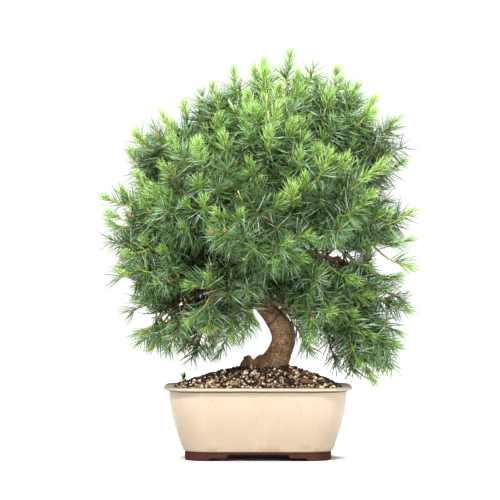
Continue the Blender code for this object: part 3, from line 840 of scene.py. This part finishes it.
def add_grains(soil):
    """Loose grains over the whole mound, dark crumbs and pale stones mixed."""
    rng = np.random.default_rng(11)
    corners, normals, areas = ground_triangles()
    patterns = [model_grain(f"grain_{i}", 40 + i, flat) for i, flat in enumerate((0.55, 0.75, 0.9, 0.65))]
    pieces = []
    for number, pattern in enumerate(patterns):
        count = soil.grains // len(patterns)
        pick = rng.choice(len(areas), count, p=areas / areas.sum())
        a, b = rng.uniform(size=(2, count, 1))
        over = (a + b) > 1
        a, b = np.where(over, 1 - a, a), np.where(over, 1 - b, b)
        tri = corners[pick]
        places = tri[:, 0] + a * (tri[:, 1] - tri[:, 0]) + b * (tri[:, 2] - tri[:, 0])
        sizes = soil.grain_size * rng.lognormal(-0.08, 0.28, count).clip(0.45, 1.35)
        front = np.interp(places[:, 1] / GRIT_HIGH[1], (-0.9, -0.2), (1, 0))
        pale = rng.uniform(size=count) < 0.14 + 0.36 * front
        tones = np.where(pale, rng.uniform(0.5, 0.97, count), rng.beta(1.6, 2.2, count) * 0.5)
        lift = rng.uniform(-0.15, 0.42, count) * sizes
        places = places + normals[pick] * lift[:, None]
        edge = np.maximum(
            np.abs(places[:, 0]) / (GRIT_HIGH[0] - 0.002), np.abs(places[:, 1]) / (GRIT_HIGH[1] - 0.002)
        )
        kept = edge < 1.0
        turns = random_turns(rng, count) * sizes[:, None, None]
        pieces.append(scatter(f"grit_grains_{number}", pattern, places[kept], turns[kept], tones[kept]))
    return pieces


def add_grit_bed():
    """The dark crumbs below the loose grains: the layer itself, roughened."""
    bed = copy_of_node("grit_dressing", "grit_bed")
    apply_modifier(bed, "REMESH", mode="VOXEL", voxel_size=0.0022)
    for vertex in bed.data.vertices:
        if vertex.normal.z > 0.2:
            place = vertex.co * 330
            vertex.co += vertex.normal * 0.0009 * noise.noise(place)
    return smooth(bed)


def add_chip():
    chip = copy_of_node("bark_chip", "bark_chip_rough")
    apply_modifier(chip, "REMESH", mode="VOXEL", voxel_size=0.0007)
    for vertex in chip.data.vertices:
        vertex.co += vertex.normal * 0.0007 * noise.fractal(vertex.co * 260, 1.0, 2.0, 3)
    return smooth(chip)


def model_leaf(name):
    """A small pointed leaf, folded a little along its middle."""
    deselect()
    bpy.ops.mesh.primitive_cone_add(vertices=4, radius1=0.12, radius2=0, depth=1, location=(0, 0, 0.5))
    obj = added(name)
    bpy.ops.mesh.bisect(plane_co=(0, 0, 0.35), plane_no=(0, 0, 1))
    bpy.ops.transform.resize(value=(1.1, 3.2, 1))
    bpy.ops.transform.translate(value=(-0.08, 0, 0))
    bpy.ops.object.mode_set(mode="OBJECT")
    return Pattern(obj)


def add_seedling():
    """A seedling of a few leaves on a thin stem."""
    low, high = (Vector(corner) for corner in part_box("weed_seedling"))
    rng = np.random.default_rng(5)
    foot = Vector(((low.x + high.x) / 2, (low.y + high.y) / 2, low.z))
    height = high.z - low.z
    tip = foot + Vector((0.001, 0, height * 0.8))
    stem = tubes("seedling_stem", [([foot, foot.lerp(tip, 0.5), tip], [0.0006, 0.0005, 0.0003])], 1)
    count = 13
    heights = np.linspace(0.3, 0.98, count)
    angles = np.arange(count) * GOLDEN_TURN
    spread = np.linspace(1.25, 0.35, count)
    directions = np.stack(
        [np.cos(angles) * np.sin(spread), np.sin(angles) * np.sin(spread), np.cos(spread)], 1
    )
    places = np.array(foot)[None] + (np.array(tip) - np.array(foot))[None] * heights[:, None]
    turns = frames_along(directions, np.tile([0.0, 0.0, 1.0], (count, 1)))
    turns = turns * (height * rng.uniform(0.38, 0.6, count))[:, None, None]
    tones = rng.uniform(0.1, 0.5, count)
    return stem, scatter("seedling_leaves", model_leaf("leaf"), places, turns, tones)


class BONSAI_OT_soil(bpy.types.Operator):
    """Add the soil, the grit and what lies or grows on it"""

    bl_idname = "bonsai.add_soil"
    bl_label = "Soil and Grit"

    def execute(self, context):
        soil = context.scene.bonsai_soil
        earth = soil_finish(soil)
        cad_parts["soil"].data.materials[0] = earth
        finished(add_grit_bed(), earth, "grit", "grit_dressing")
        grains = grit_finish()
        for piece in add_grains(soil):
            finished(piece, grains, "grit")
        chip = twig_finish("red_bark", linear(82, 46, 28), linear(138, 90, 60))
        finished(add_chip(), chip, "red_bark", "bark_chip")
        stem, leaves = add_seedling()
        finished(stem, twig_finish("seedling_stem", linear(120, 140, 60), linear(150, 168, 80)), "leaf")
        finished(leaves, needle_finish(), "leaf", "weed_seedling")
        return {"FINISHED"}


# Wood


def add_trunk(wood):
    """The trunk with its flare and stump, wrinkled across as young bark is."""
    trunk = copy_of_node("trunk", "trunk_bark")
    apply_modifier(trunk, "REMESH", mode="VOXEL", voxel_size=wood.detail)
    apply_modifier(trunk, "SMOOTH", factor=0.8, iterations=14)
    ground = GRIT_HIGH[2]
    mesh = trunk.data
    normals = [vertex.normal.copy() for vertex in mesh.vertices]
    for vertex, normal in zip(mesh.vertices, normals):
        x, y, z = vertex.co
        warp = 6 * noise.noise(Vector((x * 60, y * 60, z * 35)))
        rings = noise.noise(Vector((x * 22, y * 22, z * 200 + warp)))
        rings *= 0.5 + noise.noise(vertex.co * 40)
        lumps = noise.noise(vertex.co * 75)
        near = max(0.0, 1 - abs(z - ground) / 0.03)
        splinters = noise.noise(Vector((x * 330, y * 330, z * 70))) * min(max((STUMP_X - x) / 0.006, 0), 1)
        lumps = 0.0009 * lumps + 0.0016 * near * noise.noise(vertex.co * 160)
        vertex.co += normal * (wood.wrinkle * rings + lumps + 0.003 * splinters)
    return smooth(trunk)


class BONSAI_OT_wood(bpy.types.Operator):
    """Add the trunk and finish its limbs"""

    bl_idname = "bonsai.add_wood"
    bl_label = "Trunk and Limbs"

    def execute(self, context):
        bark = bark_finish(context.scene.bonsai_wood)
        finished(add_trunk(context.scene.bonsai_wood), bark, "bark", "trunk")
        for name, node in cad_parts.items():
            if name.startswith("limb_"):
                node.data.materials[0] = bark
        return {"FINISHED"}


# Shoots and needles


class Cloud:
    """One cloud of needles in the frame, with the wood that its twigs grow from."""

    def __init__(self, node):
        self.name = node.removeprefix("foliage_")
        low, high = (np.array(corner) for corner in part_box(node))
        self.middle = (low + high) / 2
        self.half = (high - low) / 2
        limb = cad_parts.get(f"limb_{self.name}")
        if limb:
            self.wood = coordinates_of(limb.data)
        else:
            trunk = coordinates_of(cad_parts["trunk"].data)
            self.wood = trunk[trunk[:, 2] > self.middle[2] - self.half[2]]


class Shoot:
    """A shoot's line from its twig to its tip.

    fresh is how much of it is new growth, and light its painted light and shade, paler needles at the skin of
    its cloud and darker ones deep in it, both from 0 to 1;
    hang is how much its needles droop.
    """

    def __init__(self, cloud, tip, heading, length, fresh, light, hang):
        self.cloud = cloud
        self.fresh = fresh
        self.light = light
        self.hang = hang
        rise = np.array([0.0, 0.0, 0.5])
        start = tip - unit(heading - rise) * length
        middle = tip - heading * length * 0.5
        t = np.linspace(0, 1, 7)[:, None]
        self.line = start * (1 - t) ** 2 + middle * 2 * t * (1 - t) + tip * t * t
        self.length = length
        self.ends_in = "needles"

    def at(self, shares):
        """Places and directions at shares of the line."""
        spot = np.clip(shares, 0, 1) * (len(self.line) - 1)
        low = np.minimum(spot.astype(int), len(self.line) - 2)
        part = (spot - low)[:, None]
        step = self.line[low + 1] - self.line[low]
        return self.line[low] + step * part, unit(step)


def plan_shoots(foliage, bare):
    """All the shoots: their tips are spread over the outside of the clouds and along the limbs."""
    rng = np.random.default_rng(7)
    clouds = [Cloud(node) for node in sorted(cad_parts) if node.startswith("foliage_")]
    low = np.min([c.middle - c.half for c in clouds], 0)
    high = np.max([c.middle + c.half for c in clouds], 0)
    core = (low + high) / 2 * (1, 1, 0.86)
    half = (high - low) / 2
    farthest = np.array(cad_box) + ((0.002, 0.005, 0.0), (-0.002, -0.005, 0.006))
    tips, shoots = [], []

    def grow(cloud, tip, facing, depth, fresh):
        """Adds a shoot. depth is 0 at the skin of its cloud and 1 deep in it."""
        outward = unit((tip - core) / half**2)
        height = (tip[2] - low[2]) / (high[2] - low[2])
        fresh *= np.interp(height, (0.05, 0.35), (0.7, 1))
        lift = np.interp(height, (0, 0.25, 0.6, 1), (-0.15, 0.15, 0.65, 1.1))
        heading = outward * 0.85 + facing * 0.3 + (0, 0, lift) + rng.normal(size=3) * 0.17
        length = foliage.shoot_length * rng.uniform(0.8, 1.35)
        hang = np.interp(height, (0, 0.4, 1), (0.36, 0.22, 0.08))
        # Painted shade: the deeper a shoot stands in its cloud, the darker its needles are painted
        shoot = Shoot(cloud, tip, unit(heading), length, fresh, 1 - depth, hang)
        luck = rng.uniform()
        if fresh < 0.5 and luck < 0.16 and height > 0.3 and depth < 0.6:
            shoot.ends_in = "candle"
        elif fresh < 0.6 and luck > 0.95:
            shoot.ends_in = "bud"
        tips.append(tip)
        shoots.append(shoot)

    for number, (across, up) in enumerate(LEADERS):
        tip = np.array((across, LEADER_SPREAD * math.sin(GOLDEN_TURN * number), up)) * cad_box[1]
        cloud = min(clouds, key=lambda c: np.linalg.norm((tip - c.middle) / c.half))
        grow(cloud, tip, unit(tip - core), 0, rng.uniform(0.3, 0.9))
    for _ in range(SHOOT_TRIES):
        cloud = clouds[rng.integers(len(clouds))]
        facing = unit(rng.normal(size=3))
        depth = rng.uniform()
        tip = cloud.middle + cloud.half * facing * (1.05 - 0.40 * depth)
        tip = np.clip(tip, farthest[0], farthest[1])
        outward = unit((tip - core) / half**2)
        if facing @ outward < -0.15:
            continue
        if any(np.linalg.norm((tip - c.middle) / c.half) < 0.70 for c in clouds if c is not cloud):
            continue
        if tips and np.min(np.linalg.norm(np.array(tips) - tip, axis=1)) < foliage.spacing:
            continue
        sparse = np.interp((tip[2] - low[2]) / (high[2] - low[2]), (0.15, 0.45), (0.03, -0.17))
        if noise.noise(Vector(tip) * 17) < sparse:
            continue
        if bare.hidden_by(tip[None], 0.004)[0] or in_gap(tip[None])[0]:
            continue
        grow(cloud, tip, facing, depth, min(rng.beta(1.2, 1.2) * 0.75 + 0.4 * (0.8 - depth), 1))
    for cloud in clouds:
        reach = np.linalg.norm(cloud.wood - (0, 0, cloud.wood[:, 2].mean()), axis=1)
        chance = np.clip(reach - 0.025, 0, 0.06)
        for _ in range(foliage.inner if chance.any() else 0):
            start = cloud.wood[rng.choice(len(reach), p=chance / chance.sum())]
            facing = unit(rng.normal(size=3) + unit(cloud.middle * (1, 1, 0)) * 0.6)
            tip = start + facing * foliage.shoot_length * 0.6
            if not bare.hidden_by(tip[None], 0.004)[0]:
                grow(cloud, tip, facing, 1, 0.2 * rng.uniform())
    return shoots


def model_needle(name, length, width, bow):
    """A needle: a slender three-sided spike, full to past its middle and bowed."""
    deselect()
    bpy.ops.mesh.primitive_cone_add(
        vertices=3, radius1=width * 0.5, radius2=0, depth=length, location=(0, 0, length / 2)
    )
    obj = added(name)
    bpy.ops.mesh.bisect(plane_co=(0, 0, length * 0.52), plane_no=(0, 0, 1))
    bpy.ops.transform.resize(value=(1.9, 1.9, 1))
    bpy.ops.transform.translate(value=(-bow, 0, 0))
    bpy.ops.object.mode_set(mode="OBJECT")
    return Pattern(obj)


def model_bud(name, width, length):
    """A pointed bud that stands on its base."""
    deselect()
    bpy.ops.mesh.primitive_uv_sphere_add(segments=7, ring_count=6, radius=width / 2)
    obj = added(name)
    bpy.ops.transform.resize(value=(1, 1, length / width))
    bpy.ops.transform.translate(value=(0, 0, length * 0.4))
    bpy.ops.object.mode_set(mode="OBJECT")
    return Pattern(obj)


def dress(shoot, foliage, rng):
    """The needles of one shoot: places, directions, sideways, scales and tones."""
    fresh, light = shoot.fresh, shoot.light
    stretch = shoot.length / foliage.shoot_length
    count = int(foliage.per_shoot * stretch * (0.8 + 0.7 * fresh) * rng.uniform(0.85, 1.15))
    share = 1 - 0.95 * rng.uniform(0, 1, count) ** (1 + 0.4 * fresh)
    places, ahead = shoot.at(share)
    turn = rng.uniform(0, 2 * math.pi, count)
    side = unit(np.cross(ahead, (0.3, 0.2, 1.0)))
    other = np.cross(ahead, side)
    out = side * np.cos(turn)[:, None] + other * np.sin(turn)[:, None]
    young = np.clip((share - (1 - 0.85 * max(fresh - 0.28, 0))) / 0.1, 0, 1)
    open_angle = np.interp(share, (0, 0.6, 0.9, 1), (76, 68, 54, 32)) + rng.normal(0, 9, count)
    brush_angle = np.interp(share, (0.4, 0.85, 1), (42, 30, 13)) + rng.normal(0, 6, count)
    angle = np.radians(open_angle * (1 - young) + brush_angle * young)
    directions = ahead * np.cos(angle)[:, None] + out * np.sin(angle)[:, None]
    directions[:, 2] -= shoot.hang * (1 - young) * rng.uniform(0.4, 1.3, count)
    scale = np.interp(share, (0, 0.6, 1), (0.98, 1.05, 0.76)) * rng.uniform(0.78, 1.12, count)
    scale = scale * (1 - 0.24 * young)
    # Tone by age along the shoot, with painted light and shade: paler needles out at the skin of a cloud
    age_and_shade = np.interp(share, (0, 0.6, 1), (0.03, 0.12, 0.24)) + 0.24 * light + 0.1 * fresh
    tones = age_and_shade * (1 - young) + (0.5 + 0.22 * fresh + 0.14 * light) * young
    tones = (tones + rng.normal(0, 0.07, count)).clip(0.0, 0.85)
    luck = rng.uniform(size=count)
    # Pale glaucous needles, partly their own bloom and partly painted highlights, more of them out in the
    # light
    glaucous_highlights = (luck < 0.08 + 0.20 * light) & (young < 0.5)
    tones[glaucous_highlights] = rng.uniform(*GLAUCOUS_HIGHLIGHT_TONES, glaucous_highlights.sum())
    tones[luck > 0.985] = DEAD_TONE
    if shoot.ends_in == "candle":
        tip = share > 0.9
        scale[tip] *= 0.4
        tones[tip] = CANDLE_TONE
    return places, unit(directions), ahead, scale, tones


class BareTrunk:
    """The trunk's lower part, which no needle hides from the front."""

    def __init__(self, top):
        points = coordinates_of(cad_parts["trunk"].data)
        self.top = top
        self.heights = np.linspace(GRIT_HIGH[2] - 0.004, top, 12)
        rings = [points[np.abs(points[:, 2] - height) < 0.01, 0] for height in self.heights]
        self.left = [ring.min() for ring in rings]
        self.right = [ring.max() for ring in rings]

    def hidden_by(self, points, margin):
        """True for the points that stand in front of it."""
        x, y, z = points.T
        left = np.interp(z, self.heights, self.left) - margin
        right = np.interp(z, self.heights, self.right) + margin
        return (z < self.top) & (y < 0.02) & (x > left) & (x < right)


# Tips of the leading shoots, which give the crown its outline: across as a share of its half length and
# up as a share of the tree's height.
LEADERS = (
    (-0.79, 0.29), (-0.85, 0.365), (-0.84, 0.43), (-0.91, 0.48), (-0.98, 0.55),
    (-1.00, 0.655), (-0.79, 0.815), (-0.62, 0.855), (-0.49, 0.887), (-0.37, 0.914),
    (-0.16, 0.965), (0.05, 0.975), (0.21, 1.010), (0.37, 0.98), (0.53, 0.975),
    (0.76, 0.895), (0.92, 0.85), (0.96, 0.745), (1.00, 0.617), (1.00, 0.546),
    (1.00, 0.483), (1.00, 0.375), (0.90, 0.277), (0.76, 0.200), (-0.27, 0.255),
    (-0.10, 0.305), (0.27, 0.345), (0.30, 0.305), (0.34, 0.270),
)
# How far in front of or behind the trunk they stand, as a share of the canopy's half depth
LEADER_SPREAD = 0.25

# Places where the sky shows through the canopy: across as a share of its half length, up as a share
# of the tree's height, and radius in metres.
GAPS = (
    (0.33, 0.520, 0.008), (0.42, 0.508, 0.012), (0.52, 0.503, 0.016), (0.64, 0.497, 0.014),
    (0.86, 0.493, 0.021), (0.84, 0.398, 0.011), (-0.36, 0.412, 0.016), (-0.50, 0.392, 0.015),
    (-0.38, 0.300, 0.012), (-0.62, 0.352, 0.013), (-0.76, 0.352, 0.016), (-0.88, 0.430, 0.015),
    (-0.92, 0.600, 0.011),
)


def in_gap(points):
    across = points[:, 0] / cad_box[1][0]
    up = points[:, 2] / cad_box[1][2]
    found = np.zeros(len(points), bool)
    for gap_across, gap_up, radius in GAPS:
        offset = np.hypot((across - gap_across) * cad_box[1][0], (up - gap_up) * cad_box[1][2])
        found |= offset < radius
    return found


def kept_needles(places, directions, scale, foliage, bare):
    """True for the needles that stay near the frame's box, off the bare trunk and out of the gaps."""
    low, high = (np.array(corner) for corner in cad_box)
    slack = (high - low) * REACH_SHARE + REACH
    reach = directions * (scale * foliage.needle_length)[:, None]
    ends, middles = places + reach, places + reach * 0.55
    inside = ((ends > low - slack) & (ends < high + slack)).all(1)
    return inside & ~bare.hidden_by(ends, 0) & ~bare.hidden_by(middles, 0.001) & ~in_gap(middles)


def add_twigs(shoots, wood):
    """The twigs from the limbs to the shoots, and the stems of fresh and of grown shoots."""
    rng = np.random.default_rng(31)
    twigs, fresh, grown = [], [], []
    for shoot in shoots:
        start = shoot.line[0]
        points = shoot.cloud.wood
        far = np.linalg.norm(points - start, axis=1) + rng.uniform(0, 0.03, len(points))
        root = points[np.argmin(far)]
        bend = (root + start) / 2 - (0, 0, 0.004)
        line = [root, (root + 2 * bend) / 3, (2 * bend + start) / 3, *shoot.line[:3]]
        twigs.append((line, np.linspace(wood.twig_radius, wood.stem_radius * 1.15, len(line))))
        stem = (shoot.line[2:], np.linspace(wood.stem_radius * 1.4, wood.stem_radius * 0.85, 5))
        (fresh if shoot.fresh > 0.4 or shoot.ends_in == "candle" else grown).append(stem)
    return tubes("twigs", twigs, 1), tubes("fresh_stems", fresh, 1), tubes("grown_stems", grown, 1)


def add_buds(shoots, ends_in, width, length):
    """A bud or candle on every shoot that ends in one."""
    rng = np.random.default_rng(43)
    chosen = [shoot for shoot in shoots if shoot.ends_in == ends_in]
    places = np.array([shoot.line[-1] for shoot in chosen])
    ahead = np.array([shoot.line[-1] - shoot.line[-2] for shoot in chosen])
    turns = frames_along(ahead, rng.normal(size=(len(chosen), 3)))
    turns = turns * rng.uniform(0.75, 1.2, len(chosen))[:, None, None]
    return scatter(f"{ends_in}s", model_bud(ends_in, width, length), places, turns, np.full(len(chosen), 0.5))


class BONSAI_OT_foliage(bpy.types.Operator):
    """Add the twigs, stems, needles and buds of every cloud"""

    bl_idname = "bonsai.add_foliage"
    bl_label = "Foliage"

    def execute(self, context):
        foliage, wood = context.scene.bonsai_foliage, context.scene.bonsai_wood
        bare = BareTrunk(foliage.bare_height)
        shoots = plan_shoots(foliage, bare)
        rng = np.random.default_rng(23)
        pattern = model_needle(
            "needle", foliage.needle_length, foliage.needle_width, foliage.needle_length * 0.025
        )
        material = needle_finish()
        by_cloud = {}
        for shoot in shoots:
            by_cloud.setdefault(shoot.cloud.name, []).append(dress(shoot, foliage, rng))
        for name, dressed in by_cloud.items():
            places, directions, ahead, scale, tones = (np.concatenate(part) for part in zip(*dressed))
            kept = kept_needles(places, directions, scale, foliage, bare)
            turns = frames_along(directions, ahead) * scale[:, None, None]
            needles = scatter(f"needles_{name}", pattern, places[kept], turns[kept], tones[kept])
            finished(needles, material, "needles", f"foliage_{name}")
        twigs, fresh, grown = add_twigs(shoots, wood)
        finished(twigs, twig_finish("twig_bark", linear(74, 54, 40), linear(122, 94, 70)), "bark")
        finished(fresh, twig_finish("fresh_stem", linear(150, 158, 56), linear(206, 206, 96)), "needles")
        finished(grown, twig_finish("grown_stem", linear(104, 96, 52), linear(150, 132, 74)), "needles")
        candle = bud_finish("candle", linear(196, 196, 110), linear(236, 228, 168))
        finished(add_buds(shoots, "candle", 0.0030, 0.013), candle, "needles")
        bud = bud_finish("brown_bud", linear(136, 92, 64), linear(200, 156, 120))
        finished(add_buds(shoots, "bud", 0.0046, 0.011), bud, "needles")
        return {"FINISHED"}


# Stage


class BONSAI_OT_stage(bpy.types.Operator):
    """Add the floor, the lights and the camera"""

    bl_idname = "bonsai.add_stage"
    bl_label = "Stage"

    def execute(self, context):
        stage = context.scene.bonsai_stage
        deselect()
        bpy.ops.mesh.primitive_plane_add(size=40)
        floor = bpy.context.object
        floor.name = "floor"
        paper = Finish("white_paper", roughness=0.9, specular=0.1)
        paper.shader.inputs["Base Color"].default_value = (0.9, 0.9, 0.9, 1)
        paper.shader.inputs["Emission Color"].default_value = (1, 1, 1, 1)
        seen = paper.node("ShaderNodeLightPath")
        from_pot = paper.node(
            "ShaderNodeVectorMath",
            {"operation": "LENGTH"},
            {0: paper.place((1 / POT_HIGH[0], 1 / POT_HIGH[1], 0))},
            "Value",
        )
        paper.set("Emission Strength", seen * from_pot.above(0.92, 0.14) * (stage.backdrop - 0.9 * stage.sky))
        floor.data.materials.append(paper.material)
        world = bpy.data.worlds.new("studio")
        world.use_nodes = True
        tree = world.node_tree
        light_path = tree.nodes.new("ShaderNodeLightPath")
        strength = tree.nodes.new("ShaderNodeMapRange")
        strength.inputs["To Min"].default_value = stage.sky
        strength.inputs["To Max"].default_value = stage.backdrop
        tree.links.new(light_path.outputs["Is Camera Ray"], strength.inputs["Value"])
        tree.nodes["Background"].inputs["Color"].default_value = (1, 1, 1, 1)
        tree.links.new(strength.outputs["Result"], tree.nodes["Background"].inputs["Strength"])
        context.scene.world = world
        for name, place, size, power in (
            ("key", (-0.8, -2.1, 2.2), 0.8, 96),
            ("fill", (1.7, -2.2, 0.9), 1.5, 34),
            ("top", (0.2, 0.3, 2.5), 0.8, 72),
        ):
            light = bpy.data.lights.new(name, "AREA")
            light.shape = "DISK"
            light.size = size
            light.energy = power
            lamp = placed(name, light)
            lamp.location = place
            lamp.rotation_euler = (LAMP_AIM - Vector(place)).to_track_quat("-Z", "Y").to_euler()
        camera = bpy.data.cameras.new("camera")
        camera.lens = stage.lens
        camera.sensor_width = 36
        camera.clip_end = 50
        viewer = placed("camera", camera)
        viewer.location = (stage.aside, -stage.distance, stage.height)
        viewer.rotation_euler = (math.pi / 2, 0, 0)
        context.scene.camera = viewer
        context.scene.view_settings.view_transform = "Standard"
        return {"FINISHED"}


class BONSAI_PT_panel(bpy.types.Panel):
    """Sidebar panel of the bonsai"""

    bl_idname = "BONSAI_PT_panel"
    bl_label = "Bonsai"
    bl_space_type = "VIEW_3D"
    bl_region_type = "UI"
    bl_category = "Bonsai"

    def draw(self, context):
        for settings in SETTINGS:
            box = self.layout.box()
            box.label(text=settings.__doc__)
            for name in settings.__annotations__:
                box.prop(getattr(context.scene, SETTINGS[settings]), name)
        for operator in OPERATORS:
            self.layout.operator(operator.bl_idname)


SETTINGS = {
    PotSettings: "bonsai_pot",
    SoilSettings: "bonsai_soil",
    WoodSettings: "bonsai_wood",
    FoliageSettings: "bonsai_foliage",
    StageSettings: "bonsai_stage",
}
OPERATORS = (
    BONSAI_OT_pot,
    BONSAI_OT_drainage,
    BONSAI_OT_soil,
    BONSAI_OT_wood,
    BONSAI_OT_foliage,
    BONSAI_OT_stage,
)


def register():
    for settings, name in SETTINGS.items():
        bpy.utils.register_class(settings)
        setattr(bpy.types.Scene, name, bpy.props.PointerProperty(type=settings))
    for cls in (*OPERATORS, BONSAI_PT_panel):
        bpy.utils.register_class(cls)


def unregister():
    for cls in (BONSAI_PT_panel, *reversed(OPERATORS)):
        bpy.utils.unregister_class(cls)
    for settings, name in SETTINGS.items():
        delattr(bpy.types.Scene, name)
        bpy.utils.unregister_class(settings)


def main():
    register()
    bpy.ops.bonsai.add_pot()
    bpy.ops.bonsai.finish_drainage()
    bpy.ops.bonsai.add_soil()
    bpy.ops.bonsai.add_wood()
    bpy.ops.bonsai.add_foliage()
    bpy.ops.bonsai.add_stage()


if __name__ == "__main__":
    main()
